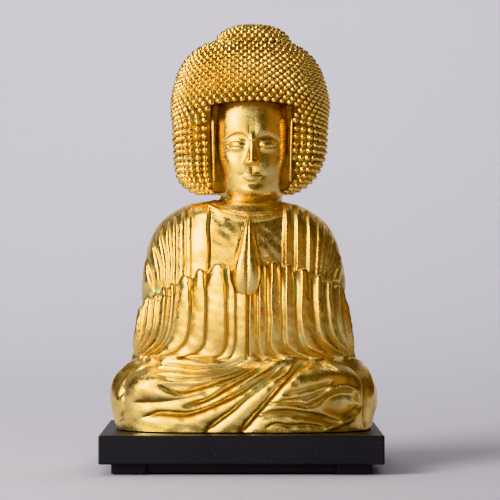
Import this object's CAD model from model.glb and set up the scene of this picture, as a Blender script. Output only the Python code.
from math import pi, radians

import bpy
import numpy as np
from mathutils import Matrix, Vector


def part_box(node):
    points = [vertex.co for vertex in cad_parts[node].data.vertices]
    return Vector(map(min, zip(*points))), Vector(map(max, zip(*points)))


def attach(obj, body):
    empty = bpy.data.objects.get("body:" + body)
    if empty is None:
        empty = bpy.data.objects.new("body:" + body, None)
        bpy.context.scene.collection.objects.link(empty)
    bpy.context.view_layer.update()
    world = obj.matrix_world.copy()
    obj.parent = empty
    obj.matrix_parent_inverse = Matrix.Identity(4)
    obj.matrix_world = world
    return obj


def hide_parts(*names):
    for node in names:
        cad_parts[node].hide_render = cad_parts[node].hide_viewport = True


# The looks of a small gilded Buddha on a black stand. Lengths are millimetres in the shared
# frame until a mesh is made: the floor is z = 0 and the figure faces -Y. "Left" is -X.

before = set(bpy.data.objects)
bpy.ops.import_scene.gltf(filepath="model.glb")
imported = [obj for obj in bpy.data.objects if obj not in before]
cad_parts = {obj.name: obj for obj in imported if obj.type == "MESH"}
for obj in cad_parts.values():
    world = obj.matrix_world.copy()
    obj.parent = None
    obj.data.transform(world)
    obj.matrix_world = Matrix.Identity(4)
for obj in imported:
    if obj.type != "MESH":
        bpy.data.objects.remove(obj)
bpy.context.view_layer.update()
MM = 0.001


class Box:
    """The box round some CAD nodes, in millimetres."""

    def __init__(self, *nodes):
        corners = [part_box(node) for node in nodes]
        low = np.min([corner[0] for corner in corners], axis=0) / MM
        high = np.max([corner[1] for corner in corners], axis=0) / MM
        self.left, self.front, self.bottom = low
        self.right, self.back, self.top = high
        self.x = (self.left + self.right) / 2


LAP = Box("lap_block")
HANDS = Box("hand_left", "hand_right")
HEAD = Box("head")
HAIR = Box("hair_cap")
TOPKNOT = Box("topknot")
URNA = Box("urna_bead")


# ---------------------------------------------------------------- small maths


def ease(low, high, value):
    """0 at low and 1 at high, smooth between. low may be the larger."""
    t = np.clip((value - low) / (high - low), 0, 1)
    return t * t * (3 - 2 * t)


def hump(value, centre, width):
    """A smooth bump of height 1."""
    return np.exp(-(((value - centre) / width) ** 2))


def through(knots, count):
    """A smooth, evenly spread run of points through the knots, and each point's place among them."""
    knots = np.asarray(knots, float)
    step = np.linalg.norm(np.diff(knots[:, :4], axis=0), axis=1)
    at = np.concatenate([[0], np.cumsum(step)])
    where = np.linspace(0, at[-1], count)
    i = np.clip(np.searchsorted(at, where, side="right") - 1, 0, len(step) - 1)
    slope = np.gradient(knots, at, axis=0)
    t = ((where - at[i]) / step[i])[:, None]
    length = step[i][:, None]
    start = knots[i] * (2 * t**3 - 3 * t**2 + 1) + slope[i] * length * (t**3 - 2 * t**2 + t)
    end = knots[i + 1] * (3 * t**2 - 2 * t**3) + slope[i + 1] * length * (t**3 - t**2)
    return start + end, i + t[:, 0]


def grid_normals(points):
    """Outward normals of a grid that closes round its columns."""
    across = np.roll(points, -1, axis=1) - np.roll(points, 1, axis=1)
    up = np.gradient(points, axis=0)
    normal = np.cross(across, up)
    return normal / np.maximum(np.linalg.norm(normal, axis=2, keepdims=True), 1e-9)


def ripple(points, size, seed):
    """Smooth seeded unevenness between about -1 and 1, for surfaces worked by hand."""
    rng = np.random.default_rng(seed)
    total = np.zeros(points.shape[:-1])
    for _ in range(10):
        wave = rng.normal(size=3)
        wave *= 2 * pi / size / np.linalg.norm(wave) * rng.uniform(0.6, 1.6)
        total += np.sin(points @ wave + rng.uniform(0, 2 * pi))
    return total / 4


def crease(x, z, path, width):
    """How close each point is to a drawn line, from 1 on it to 0: a sharp core in a broad shoulder."""
    path = np.asarray(path, float)
    knots = np.column_stack([path, np.zeros((len(path), 2))])
    line = through(knots, 6 * len(path))[0][:, :2]
    low, high = line.min(axis=0) - 4 * width, line.max(axis=0) + 4 * width
    close = (x > low[0]) & (x < high[0]) & (z > low[1]) & (z < high[1])
    px, pz = x[close], z[close]
    nearest = np.full(px.shape, 1e9)
    along = np.zeros(px.shape)
    for i in range(len(line) - 1):
        (x0, z0), (x1, z1) = line[i], line[i + 1]
        run = (x1 - x0) ** 2 + (z1 - z0) ** 2
        t = np.clip(((px - x0) * (x1 - x0) + (pz - z0) * (z1 - z0)) / run, 0, 1)
        away = (px - x0 - t * (x1 - x0)) ** 2 + (pz - z0 - t * (z1 - z0)) ** 2
        closer = away < nearest
        nearest = np.where(closer, away, nearest)
        along = np.where(closer, (i + t) / (len(line) - 1), along)
    fade = ease(0, 0.18, along) * ease(1, 0.82, along)
    gap = np.sqrt(nearest) / width
    near = np.zeros(x.shape)
    near[close] = (0.62 * np.exp(-gap / 0.38) + 0.38 * np.exp(-((gap / 1.4) ** 2))) * fade
    return near


def pleats(position, grooves, crest, hollowing):
    """Knife pleats between grooves: a near flank, a sharp crest and a long far slope.

    A larger hollowing keeps the flank low until just before the crest. Gives the height, 0 in a
    groove and 1 on a crest, how deep in a valley each point is, and a rounded swell that is 0 in
    every groove."""
    grooves = np.asarray(grooves, float)
    i = np.clip(np.searchsorted(grooves, position, side="right") - 1, 0, len(grooves) - 2)
    width = grooves[i + 1] - grooves[i]
    f = np.clip((position - grooves[i]) / width, 0, 1)
    rise = np.clip(f / crest, 0, 1) ** hollowing
    fall = 1 - np.clip((f - crest) / (1 - crest), 0, 1) ** 1.9
    height = np.where(f < crest, rise, fall)
    valley = np.where(f < crest, ease(0.75, 0.3, rise), ease(0.3, 0.0, fall))
    narrow = np.minimum(1, (width / 4.0) ** 0.6)
    return height * narrow, valley, np.sin(pi * f) ** 0.8 * narrow


# ---------------------------------------------------------------- mesh making


def make_piece(name, points, faces, body, hollow=None, seams=None, replaces=()):
    """One mesh object from points in millimetres and lists of faces. It rides on a body."""
    mesh = bpy.data.meshes.new(name)
    mesh.vertices.add(len(points))
    mesh.vertices.foreach_set("co", (points * MM).astype(np.float32).ravel())
    sizes = np.concatenate([np.full(len(group), group.shape[1]) for group in faces])
    corners = np.concatenate([group.ravel() for group in faces])
    mesh.loops.add(len(corners))
    mesh.loops.foreach_set("vertex_index", corners.astype(np.int32))
    mesh.polygons.add(len(sizes))
    mesh.polygons.foreach_set("loop_start", (np.cumsum(sizes) - sizes).astype(np.int32))
    mesh.polygons.foreach_set("use_smooth", np.ones(len(sizes), bool))
    mesh.update(calc_edges=True)
    mesh.validate()
    if hollow is not None:
        attribute = mesh.attributes.new("hollow", "FLOAT", "POINT")
        attribute.data.foreach_set("value", hollow.astype(np.float32).ravel())
    if seams is not None:
        edges = np.zeros(len(mesh.edges) * 2, np.int32)
        mesh.edges.foreach_get("vertices", edges)
        on_seam = np.isin(edge_codes(edges.reshape(-1, 2), len(points)), seams)
        sharp = mesh.attributes.new("sharp_edge", "BOOLEAN", "EDGE")
        sharp.data.foreach_set("value", on_seam)
    obj = bpy.data.objects.new(name, mesh)
    bpy.context.scene.collection.objects.link(obj)
    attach(obj, body)
    if replaces:
        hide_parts(*replaces)
    return obj


def edge_codes(pairs, count):
    """One number per edge, the same whichever way round the edge runs."""
    low = pairs.min(axis=1).astype(np.int64)
    high = pairs.max(axis=1).astype(np.int64)
    return low * count + high


def grid_faces(rows, columns, closed=True):
    """Quads of a grid whose points are numbered row by row."""
    r = np.arange(rows - 1)[:, None]
    c = np.arange(columns if closed else columns - 1)[None, :]
    right = (c + 1) % columns
    return np.stack(np.broadcast_arrays(
        r * columns + c, r * columns + right, (r + 1) * columns + right, (r + 1) * columns + c
    ), axis=2)


def close_patch(points, quads):
    """Closes an open patch by joining each of its edges to a point inside.

    Gives the grid points that were used, then the points, the faces and the seams."""
    used, quads = np.unique(quads, return_inverse=True)
    quads = quads.reshape(-1, 4)
    points = points[used]
    pairs = np.concatenate([quads[:, [i, (i + 1) % 4]] for i in range(4)])
    codes = edge_codes(pairs, len(points) + 9)
    order = np.argsort(codes, kind="stable")
    ordered = codes[order]
    single = np.ones(len(ordered), bool)
    same = ordered[1:] == ordered[:-1]
    single[1:][same] = False
    single[:-1][same] = False
    border = pairs[order[single]]
    following = dict(border.tolist())
    triangles = []
    centres = []
    while following:
        start, step = following.popitem()
        loop = [start]
        while step != start:
            loop.append(step)
            step = following.pop(step)
        centre = len(points) + len(centres)
        centres.append(points[loop].mean(axis=0))
        triangles += [(loop[i], loop[i - 1], centre) for i in range(len(loop))]
    points = np.concatenate([points, centres])
    seams = edge_codes(border, len(points))
    return used, points, [quads, np.array(triangles)], seams


def turn_angles(columns, front_share=0.42):
    """Angles once round, 0 to the front, closer together at the front."""
    even = np.linspace(-pi, pi, columns, endpoint=False)
    return even - front_share * np.sin(even)


def shell(levels, rows, columns, x, y=0.0):
    """Points of a smooth upright shell through horizontal ovals.

    A level is: height at the front, height at the sides and back, reach to the front, the side
    and the back, and squareness (2 is an ellipse)."""
    run, place = through([level[1:] for level in levels], rows)
    z_front, z_side, front, side, back, power = (column[:, None] for column in run.T)
    angle = turn_angles(columns)[None, :]
    ahead = np.cos(angle)
    depth = np.where(ahead > 0, front, back)
    reach = (np.abs(np.sin(angle) / side) ** power + np.abs(ahead / depth) ** power) ** (-1 / power)
    across = reach * np.sin(angle)
    share = np.where(ahead > 0, np.clip(np.abs(across) / side, 0, 1) ** 2, 1)
    z = z_front + (z_side - z_front) * share
    return np.stack([x + across, y - reach * ahead, z], axis=2), place


# ---------------------------------------------------------------- the robe

# name, height at the front, height at the sides, reach to the front, side and back, squareness
ROBE_LEVELS = [
    ("foot", LAP.bottom, LAP.bottom, 24.9, 37.0, 20.0, 3.2),
    ("tuck", 14.2, 14.4, 25.1, 37.7, 21.0, 3.1),
    ("knee_low", 18.0, 18.4, 25.6, 38.7, 22.0, 3.0),
    ("knee", 22.4, 22.4, 26.0, 38.6, 22.3, 2.9),
    ("knee_high", 26.8, 26.3, 25.2, 37.0, 21.6, 2.8),
    ("valley_low", 30.2, 29.6, 23.2, 34.1, 20.3, 2.7),
    ("valley", 32.8, 32.0, 22.4, 32.3, 19.4, 2.6),
    ("sleeve_low", 37.0, 36.0, 23.2, 32.0, 19.3, 2.5),
    ("sleeve", 45.0, 41.5, 24.0, 31.2, 19.2, 2.5),
    ("sleeve_high", 53.0, 45.8, 23.8, 30.5, 18.9, 2.5),
    ("hem_under", 57.6, 47.6, 23.2, 30.2, 18.8, 2.45),
    ("hem_lip", 59.2, 48.8, 22.7, 30.0, 18.8, 2.45),
    ("hem_top", 59.7, 49.6, 21.8, 29.9, 18.8, 2.45),
    ("hem_inner", 58.6, 50.0, 21.0, 29.8, 18.8, 2.45),
    ("pocket", 53.6, 50.4, 19.6, 29.8, 18.7, 2.4),
    ("pocket_back", 53.4, 50.8, 15.4, 29.7, 18.7, 2.4),
    ("chest_low", 58.2, 53.2, 13.6, 29.5, 18.5, 2.4),
    ("chest", 63.5, 59.5, 13.4, 28.5, 17.8, 2.3),
    ("chest_high", 69.0, 66.5, 12.6, 26.3, 16.6, 2.3),
    ("collar_low", 72.6, 71.4, 11.6, 22.9, 14.8, 2.2),
    ("shoulder", 74.8, 74.6, 10.8, 18.4, 12.8, 2.1),
    ("collar_side", 76.2, 76.3, 10.1, 14.2, 11.2, 2.0),
    ("collar", 77.5, 77.6, 8.8, 9.3, 9.4, 2.0),
]
LEVEL = {level[0]: i for i, level in enumerate(ROBE_LEVELS)}
ROBE_ROWS = 450
ROBE_COLUMNS = 680
BODY_X = LAP.x
SLEEVE_SPLIT_X = HANDS.x

# Distances of the sleeve grooves from the middle groove, at the hem.
LEFT_GROOVES = [0, 3.3, 5.7, 11.4, 15.9, 20.6, 22.8, 25.6, 27.4, 29.4, 31.6, 34, 36.5, 39.5, 44]
RIGHT_GROOVES = [0, 2.6, 5.6, 9.9, 14.0, 18.7, 22.6, 25.2, 27.4, 29.8, 32.4, 35.2, 38.2, 41.5, 46]
LEFT_CREST = 0.14
LEFT_HOLLOWING = 1.3
RIGHT_CREST = 0.27
RIGHT_HOLLOWING = 2.4
PLEAT_DEPTH = 1.6
HEM_WAVE = 2.3
HEM_TILT = 0.055
HAND_GAP_DEPTH = 6.5

# How far the sleeve grooves swing outwards where they meet the lap, by their distance from the
# middle: the swing at the foot, and the height over which it dies out.
SWEEP_FOOT = 32.6
SWEEP_DISTANCES = [0, 6, 11, 16.5, 21, 30, 46]
SWEEP_REACH = [0, 3.0, 7.4, 10.5, 8.5, 5, 3]
SWEEP_RISE = [1.6, 1.5, 1.5, 2.3, 3.9, 5, 5]

# Distances of the shoulder grooves from the body's middle. The first is the robe's inner edge.
LEFT_SHOULDER = [9.2, 14.9, 16.9, 19.3, 21.2, 23.1, 25.7, 29.0, 33.0]
RIGHT_SHOULDER = [10.8, 14.0, 17.6, 20.7, 22.6, 24.2, 26.0, 28.2, 31.0]
LEFT_EDGE = 10.2
SHOULDER_DEPTH = 0.95
ROBE_EDGE_THICKNESS = 0.7
NECK_LINES_X = 3.5
# Where the front of the robe ends and its back begins, as an angle from straight behind.
BACK_HALF_ANGLE = radians(82)

# Folds of the lap, drawn from the front as (x, z) points, then the depth and the width. A
# negative depth is a raised edge.
LAP_FOLDS = [
    # the line where the sleeves' cloth meets the lap
    ([(-30.5, 31.0), (-25, 32.3), (-18, 32.7), (-10, 32.2), (-1, 31.8)], 1.2, 0.5),
    ([(3, 31.9), (10, 32.6), (17, 33.4), (24, 33.9), (30.5, 32.4)], 1.2, 0.5),
    # thin folds that leave the left knee and run together under the sleeves
    ([(-24.5, 30.9), (-18.5, 30.6), (-12.2, 30.0), (-6.5, 30.5), (0.5, 31.9)], 0.9, 0.6),
    ([(-26, 29.6), (-19.5, 29.5), (-12.2, 29.0), (-5.9, 29.8), (2.5, 31.8)], 1.0, 0.65),
    ([(-26.5, 28.2), (-18.5, 27.4), (-13, 27.3), (-5, 28.9), (4.5, 31.4)], 1.1, 0.75),
    ([(-23.5, 27.0), (-18.5, 26.3), (-13, 26.7), (-8, 27.4)], 0.6, 0.5),
    # the bands that cross from the left knee and from the front edge up to the right
    ([(-23.5, 25.4), (-17.6, 22.9), (-12.2, 24.0), (-3.2, 27.3), (1.4, 29.5), (7.5, 31.7)], 2.2, 0.8),
    ([(-18, 18.7), (-11, 19.9), (-4.7, 23.6), (1.8, 27.6), (6, 30.3), (10.5, 31.8)], 2.1, 0.75),
    ([(-30, 15.0), (-24, 16.3), (-15.5, 16.2), (-8, 18.7), (0, 22.7), (6, 27), (13, 31.7)], 2.1, 0.85),
    ([(-11.5, 10.6), (-7.5, 13.6), (-2.7, 17.3), (2.2, 21.6), (8, 26.8), (15.5, 31.6)], 1.7, 0.85),
    ([(-1.5, 9.8), (4.4, 16.2), (7.6, 20), (12, 25.5), (16.3, 30.2), (22, 32.2)], 2.2, 0.85),
    # the shallow dish on the left shin
    ([(-32, 19.7), (-25, 19.8), (-18, 20.7), (-12, 22.2), (-6, 24.4)], 1.0, 1.5),
    # the right shin and foot
    ([(11, 22.0), (17, 23.8), (21.3, 24.7), (27, 26.0)], 0.8, 0.65),
    ([(10, 20.4), (17, 21.2), (21.5, 22.6), (26, 24.2)], 0.7, 0.7),
    ([(6.5, 19.4), (13, 19.7), (16.8, 19.3), (19.5, 18.2)], 0.9, 0.5),
    ([(17.5, 18.4), (21.9, 20.4), (25.2, 22.3), (28.5, 23.4), (33, 22.8)], 1.3, 0.65),
    ([(2.5, 15.6), (9, 16.9), (16, 16.7), (22.5, 15.3), (30.5, 13.4)], 1.3, 0.95),
    ([(23, 12.0), (28, 13.6), (31.4, 15.2), (35.4, 18.2)], -0.8, 0.6),
    ([(6, 12.2), (9, 13.9), (13.5, 13.4), (19, 13.6), (24, 12.6)], 0.45, 0.5),
    ([(22, 21.6), (26, 23.9), (30.5, 24.1), (33.7, 21.6), (33.2, 17.6), (30, 15.4)], -0.75, 0.42),
    # the raised edge of the robe round each knee, and the hollow inside it
    ([(-37.5, 19), (-36.2, 25), (-31.6, 30.1), (-26, 32.3), (-18, 33.0), (-8, 33)], -0.9, 0.6),
    ([(-35.3, 20), (-33, 26.3), (-28.5, 29.8), (-22, 31.2)], 1.2, 1.3),
    ([(-34.6, 25), (-33.9, 20.5), (-33.9, 17.5), (-35.2, 13.5)], 0.9, 0.8),
    ([(10, 33.0), (22, 33.5), (29.9, 32.3), (34.6, 29.6), (37.2, 25), (37.6, 18)], -0.9, 0.6),
    ([(22, 32.0), (31, 30.2), (34.8, 26.3), (35.8, 21), (35.4, 15), (35, 11)], 1.2, 1.1),
]

# Creases at the bend of the right arm.
ELBOW_FOLDS = [
    ([(23.6, 54.6), (25.8, 58.6), (27.8, 64.5)], 0.9, 0.55),
    ([(24.0, 54.2), (26.8, 57.0), (28.6, 60.5)], 0.8, 0.5),
    ([(24.0, 53.9), (26.8, 53.5), (29.8, 51.6)], 0.7, 0.5),
]


def lap_relief(x, z):
    """Height of the folds of the robe over the crossed legs, and where it is hollow."""
    height = np.zeros(x.shape)
    hollow = np.zeros(x.shape)
    for path, depth, width in LAP_FOLDS:
        near = crease(x, z, path, width)
        height -= depth * near
        hollow = np.maximum(hollow, near**1.6 * np.clip(depth, 0, 1.3))
    # the broad forms: two knees, the sunk place behind the left shin and the dish of the right foot
    height += 1.2 * hump(x, -28, 7) * hump(z, 24.5, 3.8)
    height += 1.3 * hump(x, 24, 9) * hump(z, 28, 3)
    height -= 1.4 * hump(x, -17.5, 5) * hump(z, 24.7, 1.3)
    dish = np.exp(-((((x - 29) / 5.2) ** 2 + ((z - 19) / 3.3) ** 2) ** 2))
    height -= 1.7 * dish
    hollow = np.maximum(hollow, 0.6 * dish * ease(32, 27, x))
    return height, hollow


def sleeve_relief(x, y, z):
    """Pleats that hang from the hem and sweep outwards where they meet the lap: height, valley, swell."""
    offset = x - SLEEVE_SPLIT_X
    sideways = np.abs(offset) + 0.6 * np.clip(y + 11, 0, None)
    sideways = sideways - 1.8 * ease(51, 58, z) * hump(sideways, 3, 3) * (offset < 0)
    above = np.clip(z - SWEEP_FOOT, 0, None)
    at_hem = sideways
    for _ in range(24):
        reach = np.interp(at_hem, SWEEP_DISTANCES, SWEEP_REACH)
        rise = np.interp(at_hem, SWEEP_DISTANCES, SWEEP_RISE)
        at_hem = np.clip(0.5 * at_hem + 0.5 * (sideways - reach * np.exp(-above / rise)), 0, None)
    left = pleats(at_hem, LEFT_GROOVES, LEFT_CREST, LEFT_HOLLOWING)
    right = pleats(at_hem, RIGHT_GROOVES, RIGHT_CREST, RIGHT_HOLLOWING)
    return [np.where(offset < 0, a, b) for a, b in zip(left, right)]


def shoulder_relief(x, y, z):
    """The robe's two edges on the chest, the long folds over the shoulders and the lines of the neck."""
    offset = x - BODY_X
    sideways = np.abs(offset) + 0.26 * np.clip(66 - z, 0, None) * ease(19, 25, np.abs(offset))
    left, left_valley, _ = pleats(sideways, LEFT_SHOULDER, LEFT_CREST * 1.3, LEFT_HOLLOWING)
    right, right_valley, _ = pleats(sideways, RIGHT_SHOULDER, RIGHT_CREST, RIGHT_HOLLOWING)
    on_left = ease(LEFT_EDGE - 0.12, LEFT_EDGE + 0.1, sideways) * (offset < 0)
    on_right = ease(RIGHT_SHOULDER[0] - 0.2, RIGHT_SHOULDER[0] + 1.2, sideways) * (offset >= 0)
    on_robe = on_left + on_right
    slope_top = 75.2 - 0.045 * np.clip(sideways - 13, 0, None) ** 2
    top = np.where(offset < 0, ease(slope_top, slope_top - 2.5, z), ease(78, 75, z))
    round_side = ease(-1, -7, y)
    folds = np.where(offset < 0, left, right) * top * round_side
    height = on_robe * (ROBE_EDGE_THICKNESS + SHOULDER_DEPTH * (folds - 0.4 * top)) * ease(77.4, 75.0, z)
    rise = (x - NECK_LINES_X) ** 2
    lines = hump(z, 73.3 + 0.0146 * rise, 0.4) + hump(z, 71.7 + 0.0234 * rise, 0.4)
    height += 0.35 * lines * (1 - on_robe) * (y < 0)
    hollow = np.where(offset < 0, left_valley, right_valley) * on_robe * top * round_side
    seam = hump(sideways, LEFT_EDGE - 0.22, 0.28) * (offset < 0)
    seam = seam * ease(76, 72, z)
    height -= 0.6 * seam
    hollow = np.maximum(hollow, seam)
    for path, depth, width in ELBOW_FOLDS:
        near = crease(x, z, path, width)
        height -= depth * near
        hollow = np.maximum(hollow, near)
    return height, hollow


def back_relief(angle, z):
    """Long folds down the back, fanning from the shoulders and swinging to one side."""
    lean = angle * (1 + 0.006 * (z - 50)) + 0.01 * (z - 40)
    wave = np.abs(np.sin(5.5 * lean)) ** 0.6
    small = np.abs(np.sin(8.5 * lean + 0.7)) ** 0.8
    ridge = 0.72 * wave + 0.28 * small
    return 1.1 * ridge * ease(77, 68, z), 0.8 * np.exp(-wave / 0.14)


def build_robe():
    points, place = shell(ROBE_LEVELS, ROBE_ROWS, ROBE_COLUMNS, BODY_X)
    normal = grid_normals(points)
    x, y, z = points[..., 0], points[..., 1], points[..., 2]
    place = np.broadcast_to(place[:, None], x.shape)
    wobble = 0.16 * ripple(points, 14, 11)
    level = LEVEL
    in_front = ease(8, 0, y)
    behind = ease(2, 9, y)
    lap_share = ease(level["sleeve_low"], level["valley_low"], place) * ease(2, -6, y)
    sleeve_share = ease(level["valley"] - 0.35, level["valley"] + 0.15, place) * in_front
    sleeve_share = sleeve_share * ease(level["pocket_back"], level["pocket"], place)
    chest_share = ease(level["pocket_back"], level["chest_low"], place) * (1 - 0.5 * behind)
    hem_rise = ease(level["sleeve_high"], level["hem_under"], place)
    hem_share = hem_rise * ease(level["pocket"], level["hem_inner"], place)

    lap, lap_hollow = lap_relief(x + wobble, z)
    sleeve, sleeve_hollow, swell = sleeve_relief(x + wobble, y, z)
    shoulder, shoulder_hollow = shoulder_relief(x + wobble, y, z)
    angle = np.arctan2(x - BODY_X, y)
    back, back_hollow = back_relief(angle, z)

    # up to the hem the pleats stand out along the surface, and at the hem straight outwards
    row = np.argmin(np.abs(place[:, 0] - level["hem_under"]))
    outward = normal[row] * [1, 1, 0]
    outward /= np.linalg.norm(outward, axis=1, keepdims=True)
    depth = PLEAT_DEPTH * (0.75 + 0.45 * ease(level["sleeve"], level["hem_lip"], place))
    pleat = (sleeve - 0.55) * depth * sleeve_share
    rear = back * behind * ease(level["valley_low"], level["sleeve_low"], place)
    uneven = 0.09 * ripple(points, 9, 3) + 0.06 * ripple(points, 3.2, 4)
    along_normal = lap * lap_share + pleat * (1 - hem_rise) + shoulder * chest_share + rear + uneven
    points = points + normal * along_normal[..., None]
    at_hem = pleat * ease(-4, -13, y) - 0.25 * depth * ease(-13, -4, y) * in_front
    points += outward[None] * (at_hem * hem_share)[..., None]

    # the hem rises on each pleat, tilts a little and opens round the hands
    near_middle = ease(25, 13, np.abs(x - SLEEVE_SPLIT_X))
    wave = HEM_WAVE * (swell - 0.7) * (0.4 + 0.6 * near_middle) * ease(-3, -13, y)
    gap = HAND_GAP_DEPTH * ease(5.2, 2.6, np.abs(x - SLEEVE_SPLIT_X))
    points[..., 2] += (wave - gap) * hem_share * in_front
    tilt_share = hem_rise * ease(level["chest_low"], level["pocket_back"], place)
    points[..., 2] += HEM_TILT * x * tilt_share * in_front

    hollow = np.maximum(lap_hollow * lap_share, 0.8 * sleeve_hollow * sleeve_share)
    hollow = np.maximum(hollow, 0.8 * shoulder_hollow * chest_share * (1 - behind))
    hollow = np.maximum(hollow, back_hollow * behind * 0.6)
    pocket = ease(level["hem_top"], level["pocket"], place)
    pocket = pocket * ease(level["chest_low"], level["pocket_back"], place)
    hollow = np.maximum(hollow, 1.2 * pocket * ease(-1, -8, y))
    save_robe_pieces(points, hollow, place, x, angle)


def save_robe_pieces(points, hollow, place, x, angle):
    """Splits the robe along its real joints: lap, trunk and two sleeves. The trunk is a front and a back."""
    rows, columns = place.shape
    quads = grid_faces(rows, columns)
    place = place[:-1]
    x = x[:-1]
    facing = np.abs(angle[:-1]) > BACK_HALF_ANGLE
    is_lap = place < LEVEL["valley"]
    is_low = ~is_lap & (place < LEVEL["pocket_back"])
    groups = {
        "lap_robe": ("lap_block", is_lap),
        "sleeve_left_robe": ("sleeve_left", is_low & facing & (x < SLEEVE_SPLIT_X)),
        "sleeve_right_robe": ("sleeve_right", is_low & facing & (x >= SLEEVE_SPLIT_X)),
        "trunk_robe": ("trunk_block", ~is_lap & ~facing),
        "chest_robe": (None, ~is_lap & ~is_low & facing),
    }
    flat = points.reshape(-1, 3)
    for name, (node, chosen) in groups.items():
        used, patch, faces, seams = close_patch(flat, quads[chosen])
        values = np.concatenate([hollow.ravel()[used], np.ones(len(patch) - len(used))])
        replaced = (node,) if node else ()
        piece = make_piece(name, patch, faces, "figure", values, seams, replaced)
        piece.data.materials.append(gold_leaf())


# ---------------------------------------------------------------- the head

# The usual canon: a head five eyes wide and seven high. Its crown, hairline, brow, nose base and chin are
# one eye, then two eyes apart, and it is an oval that narrows evenly from the brow to the jaw.
CROWN_Z = HEAD.top
HEAD_HALF = 11.4
EYE = 2 * HEAD_HALF / 5
FACE_THIRD = 2 * EYE
HAIRLINE_Z = CROWN_Z - EYE
BROW_Z = HAIRLINE_Z - FACE_THIRD
NOSE_BASE_Z = BROW_Z - FACE_THIRD
CHIN_Z = NOSE_BASE_Z - FACE_THIRD
EYE_Z = BROW_Z - FACE_THIRD / 3
MOUTH_Z = NOSE_BASE_Z - FACE_THIRD / 3
HEAD_LEVELS = [
    ("neck_foot", 71.0, 71.0, 10.8, HEAD_HALF, 10.4, 2.0),
    ("neck_low", 74.6, 74.6, 10.1, 0.92 * HEAD_HALF, 9.9, 2.0),
    ("neck", 76.0, 77.0, 9.4, 0.84 * HEAD_HALF, 9.6, 2.0),
    ("throat", CHIN_Z - 1.8, CHIN_Z - 0.4, 9.2, 0.80 * HEAD_HALF, 9.8, 2.1),
    ("under_chin", CHIN_Z - 1.0, CHIN_Z + 1.6, 10.4, 0.80 * HEAD_HALF, 10.5, 2.1),
    ("chin_low", CHIN_Z - 0.1, CHIN_Z + 3.6, 11.8, 0.82 * HEAD_HALF, 11.3, 2.2),
    ("chin", CHIN_Z + 1.6, CHIN_Z + 5.9, 12.7, 0.85 * HEAD_HALF, 12.0, 2.2),
    ("mouth", MOUTH_Z, MOUTH_Z + 2.9, 12.9, 0.90 * HEAD_HALF, 12.4, 2.3),
    ("nose_base", NOSE_BASE_Z, NOSE_BASE_Z + 2.6, 12.8, 0.96 * HEAD_HALF, 12.6, 2.4),
    ("cheek", NOSE_BASE_Z + 3.5, NOSE_BASE_Z + 5.4, 12.7, 0.99 * HEAD_HALF, 12.6, 2.4),
    ("eye", EYE_Z, EYE_Z + 2.0, 12.7, HEAD_HALF, 12.6, 2.4),
    ("brow", BROW_Z, BROW_Z + 1.6, 12.8, HEAD_HALF, 12.6, 2.4),
    ("forehead", BROW_Z + 4.5, BROW_Z + 5.2, 12.6, 0.98 * HEAD_HALF, 12.4, 2.4),
    ("hairline", HAIRLINE_Z, HAIRLINE_Z - 0.4, 11.8, 0.93 * HEAD_HALF, 11.5, 2.3),
    ("crown", CROWN_Z - 1.6, CROWN_Z - 1.6, 8.2, 7.6, 8.2, 2.1),
    ("top", CROWN_Z, CROWN_Z, 1.0, 1.0, 1.0, 2.0),
]
NECK_SHIFT = -1.3


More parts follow.
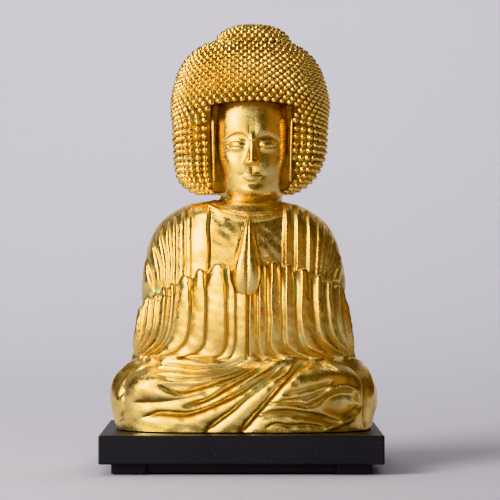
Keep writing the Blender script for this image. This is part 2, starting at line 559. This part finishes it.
def face_relief(x, z):
    """How far the calm, lowered-eyed face stands forward of the egg shape of the head."""
    side = np.abs(x - HEAD.x)
    # brows: one clean arc each, springing from the root of the nose
    arc = np.clip((side - 0.9) / (2 * EYE - 0.4), 0, 1)
    brow_line = BROW_Z - 1.9 + 2.5 * np.sin(pi * arc**0.7) - 1.1 * arc
    above = z - brow_line
    relief = 0.55 * ease(-0.35, 0.3, above) * np.exp(-np.clip(above, 0, None) / 4.0) * ease(10.4, 7.5, side)
    relief -= 0.85 * hump(side, EYE, 3.2) * hump(z, EYE_Z + 0.6, 2.3)
    # nose: a straight ridge, a rounded tip and two small wings
    down = np.clip((BROW_Z - 0.8 - z) / (BROW_Z - 0.8 - NOSE_BASE_Z - 1.0), 0, 1)
    ridge = (0.6 + 2.1 * down**1.3) * ease(BROW_Z + 0.8, BROW_Z - 2.6, z)
    ridge = ridge * ease(NOSE_BASE_Z - 0.1, NOSE_BASE_Z + 0.8, z)
    relief += ridge * hump(side, 0, 0.95 + 0.6 * down)
    relief += 0.95 * hump(side, 1.55, 0.7) * hump(z, NOSE_BASE_Z + 0.85, 0.8)
    # eyes: a full upper lid, a slit that dips in the middle, and a soft lower lid
    across = (side - EYE) / (EYE * 0.54)
    lid = np.clip(across**2 + ((z - EYE_Z + 0.1) / 1.75) ** 2, 0, None)
    relief += 1.5 * np.exp(-(lid**1.3))
    slit = EYE_Z - 0.95 + 0.4 * across**2
    relief -= 0.5 * np.exp(-np.abs(z - slit) / 0.22) * ease(1.12, 0.85, np.abs(across))
    fold = EYE_Z + 1.0 - 0.8 * across**2
    relief -= 0.25 * np.exp(-np.abs(z - fold) / 0.22) * ease(1.3, 0.9, np.abs(across))
    # cheeks
    relief += 0.55 * hump(side, 5.6, 3.2) * hump(z, NOSE_BASE_Z - 0.2, 3.6)
    # mouth: a bowed upper lip, the line, a fuller lower lip, the corners and the chin
    relief -= 0.15 * hump(side, 0, 0.6) * hump(z, NOSE_BASE_Z - 0.9, 0.7)
    half_mouth = EYE * 0.66
    taper = np.clip(1 - (side / half_mouth) ** 2, 0, 1)
    upper_edge = MOUTH_Z + 1.0 * taper**0.8 - 0.3 * hump(side, 0, 0.6)
    upper = ease(upper_edge + 0.2, upper_edge - 0.35, z) * ease(MOUTH_Z - 0.5, MOUTH_Z, z)
    lower_edge = MOUTH_Z - 1.4 * taper**0.8
    lower = ease(lower_edge - 0.4, lower_edge + 0.35, z) * ease(MOUTH_Z + 0.4, MOUTH_Z - 0.2, z)
    relief += 0.5 * taper**0.8 * upper + 0.55 * taper**0.9 * lower
    mouth_line = MOUTH_Z + 0.35 * (side / half_mouth) ** 2
    relief -= 0.45 * np.exp(-np.abs(z - mouth_line) / 0.22) * ease(half_mouth + 0.4, half_mouth - 0.6, side)
    relief -= 0.15 * hump(side, half_mouth + 0.3, 0.8) * hump(z, MOUTH_Z + 0.2, 0.8)
    relief -= 0.2 * hump(z, MOUTH_Z - 2.5, 0.8) * hump(side, 0, 2.6)
    relief += 0.7 * hump(side, 0, 2.8) * hump(z, CHIN_Z + 1.6, 1.6)
    return relief


def build_head():
    rows, columns = 260, 380
    points, _ = shell(HEAD_LEVELS, rows, columns, HEAD.x)
    x, y, z = points[..., 0], points[..., 1], points[..., 2]
    forward = ease(-1, -7, y) * ease(CHIN_Z - 1.5, CHIN_Z + 0.4, z)
    points[..., 1] -= face_relief(x, z) * forward
    points[..., 0] += NECK_SHIFT * ease(CHIN_Z + 1, CHIN_Z - 3, z)
    points += grid_normals(points) * (0.02 * ripple(points, 5, 8))[..., None]
    save_closed("head_and_neck", points, ("head",))
    for side in (-1, 1):
        build_ear(side)
    build_urna()


def save_closed(name, points, replaces=(), hollow=None, look=None):
    """A gold piece from a grid that closes round its columns, capped at both ends."""
    rows, columns = points.shape[:2]
    _, patch, faces, seams = close_patch(points.reshape(-1, 3), grid_faces(rows, columns).reshape(-1, 4))
    if hollow is not None:
        hollow = np.concatenate([hollow.ravel(), np.ones(len(patch) - rows * columns)])
    piece = make_piece(name, patch, faces, "figure", hollow, seams, replaces)
    piece.data.materials.append(look or gold_leaf())
    return piece


def build_urna():
    """The small round bead in the middle of the forehead."""
    rows, columns = 24, 32
    up = np.sin(np.linspace(-pi / 2, pi / 2, rows))[:, None]
    angle = np.linspace(-pi, pi, columns, endpoint=False)[None, :]
    radius = (URNA.right - URNA.left) / 2
    flat = np.sqrt(np.clip(1 - up**2, 1e-6, 1))
    x = URNA.x + radius * flat * np.sin(angle)
    y = (URNA.front + URNA.back) / 2 - radius * flat * np.cos(angle)
    z = (URNA.bottom + URNA.top) / 2 + radius * up + 0 * angle
    save_closed("urna", np.stack([x, y, z], axis=2), ("urna_bead",))


def build_ear(side):
    """A long flat ear with a rolled rim and a hanging lobe."""
    top, bottom = BROW_Z + 5.5, NOSE_BASE_Z - 4.5
    rows, columns = 90, 64
    t = np.linspace(0, 1, rows)[:, None]
    angle = np.linspace(-pi, pi, columns, endpoint=False)[None, :]
    z = bottom + (top - bottom) * (1 - np.cos(pi * t)) / 2 + 0 * angle
    share = (z - bottom) / (top - bottom)
    taper = np.sqrt(np.clip(4 * t * (1 - t), 1e-5, 1))
    depth = (1.4 + 2.4 * share**1.2) * taper**0.9
    thick = 0.55 * taper**0.5
    y = -7.0 + 1.2 * (share - 0.5) - depth * np.cos(angle)
    rim = 0.3 * np.abs(np.cos(angle)) ** 4 * ease(0.25, 0.5, share)
    x = HEAD.x + side * (11.5 - 0.5 * (1 - share)) + (thick + rim) * np.sin(angle)
    name = "ear_left" if side < 0 else "ear_right"
    save_closed(name, np.stack([x, y, z], axis=2))


# ---------------------------------------------------------------- the hair

HAIR_X = HAIR.x
HAIR_Y = (HAIR.front + HAIR.back) / 2
HAIR_LEVELS = [
    ("foot", HAIR.bottom + 0.4, HAIR.bottom + 0.4, 4.0, 8.0, 7.0, 2.0),
    ("foot_out", HAIR.bottom + 0.6, HAIR.bottom + 0.6, 9.0, 12.8, 12.8, 2.1),
    ("under", 81.2, 81.2, 11.6, 16.4, 16.0, 2.3),
    ("side_low", 83.8, 83.8, 13.2, 19.2, 18.6, 2.4),
    ("side", 88.0, 88.0, 14.4, 21.0, 20.4, 2.4),
    ("side_high", 95.0, 94.0, 15.4, 21.8, 21.5, 2.4),
    ("brim_under", 104.2, 100.4, 16.2, 22.1, 21.8, 2.4),
    ("brim", 107.2, 102.8, 18.9, 22.4, 21.9, 2.3),
    ("brim_top", 109.6, 105.2, 20.2, 22.6, 21.8, 2.2),
    ("dome_low", 112.8, 109.0, 20.0, 22.0, 21.2, 2.2),
    ("dome", 117.2, 115.6, 18.0, 20.0, 19.4, 2.1),
    ("dome_high", 120.4, 119.8, 15.0, 17.1, 16.6, 2.1),
    ("crown", 122.6, 122.4, 11.4, 13.4, 13.0, 2.0),
    ("crown_in", 123.8, 123.8, 8.0, 9.0, 8.8, 2.0),
    ("top", 124.2, 124.2, 2.0, 2.0, 2.0, 2.0),
]
TOPKNOT_LEVELS = [
    ("foot", 122.0, 122.0, 10.0, 10.5, 10.0, 2.0),
    ("side", 123.8, 123.8, 9.9, 10.5, 9.9, 2.1),
    ("shoulder", 126.0, 126.0, 8.4, 9.1, 8.4, 2.1),
    ("crown", 127.8, 127.8, 5.2, 5.6, 5.2, 2.0),
    ("top", 128.5, 128.5, 0.8, 0.8, 0.8, 2.0),
]
TOPKNOT_SHIFT = 0.9
WINDOW_HALF = 11.7
WINDOW_TOP = 106.1
WINDOW_BACK = -6.5
# How far the side hair falls back towards the cheeks, so that the face stands out.
CHEEK_SWEEP = 2.6
# How far apart the curls stand round a row and from row to row, each curl's radius and height,
# the height where the side hair ends and the dome begins, and the dome row where the crown begins.
CURL_PITCH = 2.3
CURL_ROW_PITCH = 1.16
SIDE_CURL_PITCH = 2.1
SIDE_ROW_PITCH = 1.95
DOME_CURL = (0.9, 0.86)
SIDE_CURL = (1.0, 0.92)
SIDE_TOP = 99.2
CROWN_FROM_ROW = 16
HAIR_FOOT_SHIFT = -1.6


def window_share(x, z):
    """1 inside the opening over the face, 0 outside it."""
    side = np.abs(x - HEAD.x - NECK_SHIFT * ease(CHIN_Z + 6, CHIN_Z, z))
    half = WINDOW_HALF - 1.8 * ease(CHIN_Z + 7, CHIN_Z - 1, z)
    arch = WINDOW_TOP - 1.2 * (side / WINDOW_HALF) ** 2
    return ease(half + 0.5, half - 0.3, side) * ease(arch + 0.3, arch - 0.5, z)


def open_window(points):
    """Pushes the front of the hair back round the face."""
    x, y, z = points[..., 0], points[..., 1], points[..., 2]
    share = window_share(x, z) * ease(-2, -5, y)
    points[..., 1] = y + (WINDOW_BACK - y) * share


def ring_spots(ring, normals, count, shift):
    """Evenly spaced places round one closed row, counted from its front."""
    front = ring.shape[0] // 2
    ring = np.roll(ring, -front, axis=0)
    normals = np.roll(normals, -front, axis=0)
    step = np.linalg.norm(np.roll(ring, -1, axis=0) - ring, axis=1)
    at = np.concatenate([[0], np.cumsum(step)])
    where = (np.arange(count) + shift) / count * at[-1]
    closed = np.concatenate([ring, ring[:1]])
    turned = np.concatenate([normals, normals[:1]])
    spots = np.stack([np.interp(where, at, closed[:, k]) for k in range(3)], axis=1)
    facing = np.stack([np.interp(where, at, turned[:, k]) for k in range(3)], axis=1)
    return spots, facing / np.linalg.norm(facing, axis=1, keepdims=True)


def ring_length(ring):
    return np.linalg.norm(np.roll(ring, -1, axis=0) - ring, axis=1).sum()


def curl_shape():
    """One small curl: a round bead with a shallow spiral and a small point. Radius and height are 1.

    Gives its points, its faces and how deep each point lies among its neighbours."""
    rows, columns = 8, 11
    lift = np.linspace(0, pi / 2, rows)[:, None]
    angle = np.linspace(0, 2 * pi, columns, endpoint=False)[None, :]
    radius = np.cos(lift) ** 0.85 * (1 - 0.07 * np.cos(angle + 4.5 * lift))
    radius[-1] = 0.05
    up = np.sin(lift) + 0.22 * ease(0.8, 1, np.sin(lift)) - 0.2 + 0 * angle
    points = np.stack([radius * np.cos(angle), radius * np.sin(angle), up], axis=2)
    _, points, faces, _ = close_patch(points.reshape(-1, 3), grid_faces(rows, columns).reshape(-1, 4))
    return points, faces, ease(0.45, -0.1, points[:, 2])


def plant_curls(name, spots, facing, sizes, seed):
    """A mesh of curls standing on their spots, each a little different."""
    rng = np.random.default_rng(seed)
    shape, faces, depth = curl_shape()
    count = len(spots)
    turn = rng.uniform(0, 2 * pi, count)
    facing = facing + rng.normal(0, 0.05, facing.shape)
    facing /= np.linalg.norm(facing, axis=1, keepdims=True)
    helper = np.where(np.abs(facing[:, 2:3]) > 0.9, [[1.0, 0, 0]], [[0, 0, 1.0]])
    side = np.cross(facing, helper)
    side /= np.linalg.norm(side, axis=1, keepdims=True)
    other = np.cross(facing, side)
    radius, height = sizes[:, :1], sizes[:, 1:]
    radius = radius * rng.uniform(0.94, 1.06, (count, 1))
    height = height * rng.uniform(0.92, 1.08, (count, 1))
    c, s = np.cos(turn)[:, None], np.sin(turn)[:, None]
    u = side * c + other * s
    v = -side * s + other * c
    points = spots[:, None, :] + (
        shape[None, :, 0:1] * (u * radius)[:, None, :]
        + shape[None, :, 1:2] * (v * radius)[:, None, :]
        + shape[None, :, 2:3] * (facing * height)[:, None, :]
    )
    shift = (np.arange(count) * len(shape))[:, None, None]
    faces = [(group[None] + shift).reshape(-1, group.shape[1]) for group in faces]
    curls = make_piece(name, points.reshape(-1, 3), faces, "figure", np.tile(depth, count))
    curls.data.materials.append(gold_leaf("curl_gold_look", 0.14, 0.3))


def plant_band(name, points, normals, band, seed):
    """Curls along rows of a shell, with none over the face.

    A row is: its number, how many curls it has, how far they are shifted, and their size."""
    spots, facing, sizes = [], [], []
    for row, count, shift, size in band:
        ring, ring_facing = ring_spots(points[row], normals[row], count, shift)
        clear = window_share(ring[:, 0], ring[:, 2]) * (ring[:, 1] < -2) < 0.3
        spots.append(ring[clear])
        facing.append(ring_facing[clear])
        sizes.append(np.full((clear.sum(), 2), size))
    plant_curls(name, np.concatenate(spots), np.concatenate(facing), np.concatenate(sizes), seed)


def rows_by_pitch(points, low, high, pitch, seen_pitch=0.0):
    """Row numbers a pitch apart along the side of the shell, further apart where it turns away."""
    quarter = points.shape[1] * 3 // 4
    run = points[:, quarter]
    step = np.linalg.norm(np.diff(run, axis=0), axis=1)
    slope = np.clip(np.abs(np.diff(run[:, 2])) / step, 0.05, 1)
    spacing = np.clip(seen_pitch / slope, pitch, 1.9 * pitch)
    at = np.concatenate([[0], np.cumsum(step / spacing)])
    start, end = np.interp([low, high], run[:, 2], at)
    where = np.linspace(start, end, int(round(end - start)) + 1)
    return np.clip(np.searchsorted(at, where), 0, len(at) - 1)


def build_hair():
    rows, columns = 250, 396
    points, _ = shell(HAIR_LEVELS, rows, columns, HAIR_X, HAIR_Y)
    x, y, z = points[..., 0], points[..., 1], points[..., 2]
    x += HAIR_FOOT_SHIFT * ease(92, 80, z)
    cheek = ease(WINDOW_HALF + 7, WINDOW_HALF, np.abs(x - HEAD.x)) * ease(103, 99, z)
    y += CHEEK_SWEEP * cheek * ease(-2, -9, y)
    outer = points.copy()
    normal = grid_normals(outer)
    open_window(points)
    save_closed("hair_core", points, ("hair_cap",), None, hair_ground())

    side_rows = rows_by_pitch(outer, HAIR.bottom + 0.9, SIDE_TOP, SIDE_ROW_PITCH)
    side_count = int(round(ring_length(outer[side_rows[-1]]) / SIDE_CURL_PITCH))
    dome_rows = rows_by_pitch(outer, SIDE_TOP + 1.3, 123.9, CURL_ROW_PITCH, CURL_ROW_PITCH)
    dome = [
        (row, int(round(ring_length(outer[row]) / CURL_PITCH)), 0.5 * (k % 2), DOME_CURL)
        for k, row in enumerate(dome_rows)
    ]
    bands = {
        "curls_side": [(row, side_count, 0.5, SIDE_CURL) for row in side_rows],
        "curls_dome": dome[:CROWN_FROM_ROW],
        "curls_crown": dome[CROWN_FROM_ROW:],
    }
    for name, band in bands.items():
        plant_band(name, outer, normal, band, len(name))


def build_topknot():
    rows, columns = 80, 160
    points, _ = shell(TOPKNOT_LEVELS, rows, columns, TOPKNOT.x + TOPKNOT_SHIFT, HAIR_Y)
    normal = grid_normals(points)
    save_closed("topknot_core", points, ("topknot",), None, hair_ground())
    step = np.linalg.norm(np.diff(points[:, 0], axis=0), axis=1)
    at = np.concatenate([[0], np.cumsum(step)])
    band = []
    for k, distance in enumerate(np.arange(0.3, at[-1], CURL_ROW_PITCH * 1.3)):
        row = min(np.searchsorted(at, distance), rows - 1)
        count = max(1, int(round(ring_length(points[row]) / (CURL_PITCH * 0.92))))
        band.append((row, count, 0.5 * (k % 2), DOME_CURL))
    plant_band("curls_topknot", points, normal, band, 77)


# ---------------------------------------------------------------- the hands

HAND_LEVELS = [
    # height, half width of one hand, reach to the front, reach to the back
    (HANDS.bottom - 0.4, 1.0, 4.2, 1.4),
    (HANDS.bottom + 0.4, 3.0, 5.0, 3.0),
    (HANDS.bottom + 3.0, 4.1, 5.7, 4.4),
    (HANDS.bottom + 7.2, 4.1, 6.0, 5.2),
    (HANDS.bottom + 10.8, 3.2, 5.4, 4.8),
    (HANDS.bottom + 13.8, 2.35, 4.7, 4.4),
    (HANDS.bottom + 17.0, 1.7, 3.8, 4.0),
    (HANDS.bottom + 19.7, 1.15, 2.8, 3.2),
    (HANDS.top - 1.6, 0.75, 1.7, 2.0),
    (HANDS.top - 0.9, 0.15, 0.5, 0.6),
]
HAND_Y = (HANDS.front + HANDS.back) / 2
HAND_LEAN = 0.03
THUMB_STEP = 0.9


def build_hand(side):
    """One palm, pressed flat against the other, with the fingers marked off and the thumb behind."""
    rows, columns = 170, 120
    run, _ = through(HAND_LEVELS, rows)
    z, half, front, back = (column[:, None] for column in run.T)
    angle = np.linspace(-pi, pi, columns, endpoint=False)[None, :]
    out = np.cos(angle)
    along = np.sin(angle)
    x = np.where(out > 0, half * np.abs(out) ** 0.5, 0.0)
    depth = np.where(along > 0, back, front)
    y = depth * np.sign(along) * np.abs(along) ** 0.8
    # the thumb and first finger stand out behind the other fingers
    finger_part = ease(HANDS.bottom + 9, HANDS.bottom + 12, z) * ease(HANDS.top - 1, HANDS.top - 4, z)
    x = x + THUMB_STEP * ease(-0.5, 0.4, y) * finger_part * ease(0.15, 0.5, out)
    fingers = np.zeros(x.shape)
    for place in (-0.72, -0.3, 0.45):
        fingers = np.maximum(fingers, np.exp(-np.abs(y / front - place) / 0.08))
    x = x - 0.35 * fingers * finger_part * ease(0.1, 0.4, out)
    lean = HAND_LEAN * (z - HANDS.bottom - 8)
    points = np.stack([HANDS.x + lean + side * (x + 0.05), HAND_Y + y, z + 0 * x], axis=2)
    if side > 0:
        points = points[:, ::-1]
        fingers = fingers[:, ::-1]
    name = "left" if side < 0 else "right"
    save_closed(f"palm_{name}", points, (f"hand_{name}",), 0.6 * fingers * finger_part)


# ---------------------------------------------------------------- materials


class Nodes:
    """A short way to write a node tree."""

    def __init__(self, name):
        self.material = bpy.data.materials.new(name)
        self.material.use_nodes = True
        self.tree = self.material.node_tree
        self.tree.nodes.clear()
        self.where = self.add("ShaderNodeTexCoord").outputs["Object"]

    def add(self, kind, inputs=None, **settings):
        node = self.tree.nodes.new(kind)
        for key, value in settings.items():
            setattr(node, key, value)
        for key, value in (inputs or {}).items():
            if isinstance(value, bpy.types.NodeSocket):
                self.tree.links.new(value, node.inputs[key])
            else:
                node.inputs[key].default_value = value
        return node

    def noise(self, scale, detail=3.0, roughness=0.55, distortion=0.0):
        inputs = {"Vector": self.where, "Scale": scale, "Detail": detail}
        inputs |= {"Roughness": roughness, "Distortion": distortion}
        return self.add("ShaderNodeTexNoise", inputs).outputs["Fac"]

    def remap(self, value, low, high, to_low=0.0, to_high=1.0):
        inputs = {"Value": value, "From Min": low, "From Max": high, "To Min": to_low, "To Max": to_high}
        return self.add("ShaderNodeMapRange", inputs).outputs["Result"]

    def math(self, operation, a, b=0.5):
        return self.add("ShaderNodeMath", {0: a, 1: b}, operation=operation, use_clamp=True).outputs[0]

    def mix(self, share, a, b):
        return self.add("ShaderNodeMix", {0: share, 6: a, 7: b}, data_type="RGBA").outputs[2]

    def finish(self, colour, metallic, roughness, height=None, strength=0.3, distance=0.0002, **extra):
        inputs = {"Base Color": colour, "Metallic": metallic, "Roughness": roughness} | extra
        if height is not None:
            bump = {"Height": height, "Strength": strength, "Distance": distance}
            inputs["Normal"] = self.add("ShaderNodeBump", bump).outputs["Normal"]
        shader = self.add("ShaderNodeBsdfPrincipled", inputs)
        self.add("ShaderNodeOutputMaterial", {"Surface": shader.outputs[0]})
        return self.material


def gold_leaf(name="gold_leaf_look", smooth=0.19, rough=0.38):
    """Gold leaf over a slightly rough ground, with brown and pale green left in the hollows."""
    if name in bpy.data.materials:
        return bpy.data.materials[name]
    n = Nodes(name)
    drawn = n.add("ShaderNodeAttribute", attribute_name="hollow").outputs["Fac"]
    shade = n.add("ShaderNodeAmbientOcclusion", {"Distance": 0.0016}, samples=12).outputs["AO"]
    closed = n.remap(shade, 0.7, 0.2)
    hollow = n.math("MAXIMUM", n.math("MULTIPLY", drawn, 0.75), closed)
    patches = n.noise(160.0, 4.0, 0.6, 0.4)
    fine = n.noise(900.0, 5.0, 0.65)
    crinkle = n.noise(2600.0, 3.0, 0.6)
    leaf = n.mix(n.remap(patches, 0.38, 0.68), (1.0, 0.745, 0.3, 1), (0.97, 0.63, 0.17, 1))
    worn = n.math("MULTIPLY", hollow, n.remap(fine, 0.3, 0.7, 0.6, 1.0))
    colour = n.mix(n.remap(worn, 0.15, 0.85, 0.0, 0.92), leaf, (0.27, 0.105, 0.004, 1))
    green_place = n.math("MULTIPLY", n.remap(n.noise(130.0, 2.0), 0.52, 0.62), n.remap(hollow, 0.3, 0.75))
    colour = n.mix(n.math("MULTIPLY", green_place, 0.72), colour, (0.47, 0.64, 0.34, 1))
    metallic = n.remap(green_place, 0.0, 1.0, 1.0, 0.45)
    roughness = n.math("ADD", n.remap(fine, 0.25, 0.75, smooth, rough), n.math("MULTIPLY", hollow, 0.2))
    height = n.math("ADD", n.math("MULTIPLY", fine, 0.45), n.math("MULTIPLY", crinkle, 0.45))
    return n.finish(colour, metallic, roughness, height, 0.5, 0.0002)


def hair_ground():
    """The browner gold between the curls, with a little green left in it."""
    if "hair_ground_look" in bpy.data.materials:
        return bpy.data.materials["hair_ground_look"]
    n = Nodes("hair_ground_look")
    colour = n.mix(n.remap(n.noise(300.0, 3.0), 0.4, 0.65), (0.36, 0.16, 0.012, 1), (0.16, 0.062, 0.005, 1))
    green = n.remap(n.noise(260.0, 2.0), 0.58, 0.66)
    colour = n.mix(n.math("MULTIPLY", green, 0.45), colour, (0.24, 0.36, 0.14, 1))
    return n.finish(colour, 0.9, 0.42, n.noise(1500.0, 3.0), 0.4, 0.0002)


def stand_black():
    """Matt black lacquer over fine board, with dust specks."""
    n = Nodes("stand_black_look")
    grain = n.noise(1400.0, 4.0, 0.7)
    broad = n.noise(60.0, 3.0)
    specks = n.remap(n.noise(2300.0, 1.0, 0.3), 0.76, 0.8)
    colour = n.mix(n.remap(broad, 0.3, 0.7), (0.0145, 0.0142, 0.016, 1), (0.018, 0.0175, 0.02, 1))
    colour = n.mix(n.math("MULTIPLY", specks, 0.7), colour, (0.12, 0.115, 0.12, 1))
    roughness = n.remap(grain, 0.3, 0.7, 0.36, 0.52)
    return n.finish(colour, 0.0, roughness, grain, 0.25, 0.0001)


def felt():
    n = Nodes("felt_look")
    fibres = n.noise(3200.0, 6.0, 0.75, 1.5)
    colour = n.mix(n.remap(fibres, 0.3, 0.7), (0.012, 0.012, 0.013, 1), (0.035, 0.034, 0.036, 1))
    return n.finish(colour, 0.0, 0.95, fibres, 0.8, 0.0003, **{"Sheen Weight": 0.4})


def brass():
    n = Nodes("brass_look")
    lines = n.noise(2400.0, 2.0)
    colour = n.mix(n.remap(n.noise(300.0), 0.35, 0.7), (0.76, 0.56, 0.26, 1), (0.6, 0.41, 0.17, 1))
    return n.finish(colour, 1.0, n.remap(lines, 0.3, 0.7, 0.22, 0.36), lines, 0.15, 0.0001)


def dowel_wood():
    n = Nodes("dowel_wood_look")
    rings = n.add("ShaderNodeTexWave", {"Vector": n.where, "Scale": 420.0, "Distortion": 3.0, "Detail": 2.0})
    grain = rings.outputs["Fac"]
    colour = n.mix(grain, (0.42, 0.27, 0.14, 1), (0.6, 0.43, 0.25, 1))
    return n.finish(colour, 0.0, 0.6, grain, 0.25, 0.0002)


def paint_cad_nodes():
    looks = {
        stand_black(): [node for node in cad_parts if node.startswith(("stand", "foot", "apron"))],
        felt(): ["felt_pads", "base_felt"],
        brass(): ["locating_dowels"],
        dowel_wood(): ["trunk_dowels", "sleeve_dowels", "wrist_pegs"],
    }
    for material, nodes in looks.items():
        for node in nodes:
            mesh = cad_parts[node].data
            mesh.materials.clear()
            mesh.materials.append(material)


# ---------------------------------------------------------------- stage, light and camera

IMAGE_PIXELS = 500
LENS_PIXELS = 2466
SENSOR_MM = 36.0
CAMERA_DISTANCE = 720.6
CAMERA_HEIGHT = 63.07
CENTRE_SHIFT = 0.017


def build_stage():
    """A seamless pale sweep: floor, curve and wall in one sheet."""
    depth, height, bend, half = 450.0, 1500.0, 900.0, 1600.0
    turn = np.linspace(0, pi / 2, 24)
    run = [(-2500.0, 0.0)] + [(depth + bend * np.sin(a), bend * (1 - np.cos(a))) for a in turn]
    run.append((depth + bend, height))
    points = np.array([(x, y, z) for y, z in run for x in (-half, half)])
    mesh = bpy.data.meshes.new("sweep")
    faces = grid_faces(len(run), 2, closed=False).reshape(-1, 4)
    mesh.from_pydata((points * MM).tolist(), [], faces.tolist())
    mesh.polygons.foreach_set("use_smooth", np.ones(len(mesh.polygons), bool))
    mesh.materials.append(Nodes("sweep_paper").finish((0.61, 0.592, 0.628, 1), 0.0, 0.9))
    sweep = bpy.data.objects.new("sweep", mesh)
    bpy.context.scene.collection.objects.link(sweep)


def area_light(name, place, aim, size, radiance, colour=(1, 1, 1)):
    """A rectangular light that faces a point. Its brightness is given as seen in a mirror."""
    data = bpy.data.lights.new(name, "AREA")
    data.shape = "RECTANGLE"
    data.size = size[0] * MM
    data.size_y = size[1] * MM
    data.energy = radiance * pi * data.size * data.size_y
    data.color = colour
    lamp = bpy.data.objects.new(name, data)
    bpy.context.scene.collection.objects.link(lamp)
    place = Vector(place) * MM
    aim = Vector(aim) * MM
    lamp.location = place
    lamp.rotation_euler = (aim - place).to_track_quat("-Z", "Y").to_euler()
    return lamp


def build_light():
    """A key from the upper left, weaker lights round it, and a room that gold mirrors as dim and warm."""
    world = bpy.data.worlds.new("room")
    bpy.context.scene.world = world
    world.use_nodes = True
    tree = world.node_tree
    mix = tree.nodes.new("ShaderNodeMixShader")
    path = tree.nodes.new("ShaderNodeLightPath")
    tree.links.new(path.outputs["Is Glossy Ray"], mix.inputs[0])
    lit_by = ((0.85, 0.83, 0.88, 1), 0.24)
    mirrored = ((1.0, 0.6, 0.28, 1), 0.055)
    for i, (colour, strength) in enumerate((lit_by, mirrored)):
        glow = tree.nodes.new("ShaderNodeBackground")
        glow.inputs["Color"].default_value = colour
        glow.inputs["Strength"].default_value = strength
        tree.links.new(glow.outputs[0], mix.inputs[i + 1])
    tree.links.new(mix.outputs[0], tree.nodes["World Output"].inputs["Surface"])
    middle = (0, 0, 65)
    area_light("key_softbox", (-640, -520, 430), middle, (500, 560), 10.4)
    area_light("front_card", (-400, -1260, 110), middle, (880, 700), 1.8)
    area_light("ceiling_card", (-120, -260, 1050), middle, (700, 500), 0.7)
    area_light("wall_wash", (0, 350, 1000), (0, 1250, 420), (1400, 500), 3.7)
    warm = area_light("warm_reflector", (760, -420, 120), middle, (760, 800), 0.27, (1.0, 0.58, 0.22))
    warm.visible_diffuse = False


def build_camera():
    data = bpy.data.cameras.new("camera")
    data.sensor_width = SENSOR_MM
    data.lens = LENS_PIXELS / IMAGE_PIXELS * SENSOR_MM
    data.shift_x = CENTRE_SHIFT
    data.clip_end = 20
    camera = bpy.data.objects.new("camera", data)
    bpy.context.scene.collection.objects.link(camera)
    camera.location = (0, -CAMERA_DISTANCE * MM, CAMERA_HEIGHT * MM)
    camera.rotation_euler = (pi / 2, 0, 0)
    bpy.context.scene.camera = camera
    bpy.context.scene.view_settings.view_transform = "Khronos PBR Neutral"


build_robe()
build_head()
build_hair()
build_topknot()
for hand_side in (-1, 1):
    build_hand(hand_side)
paint_cad_nodes()
build_stage()
build_light()
build_camera()
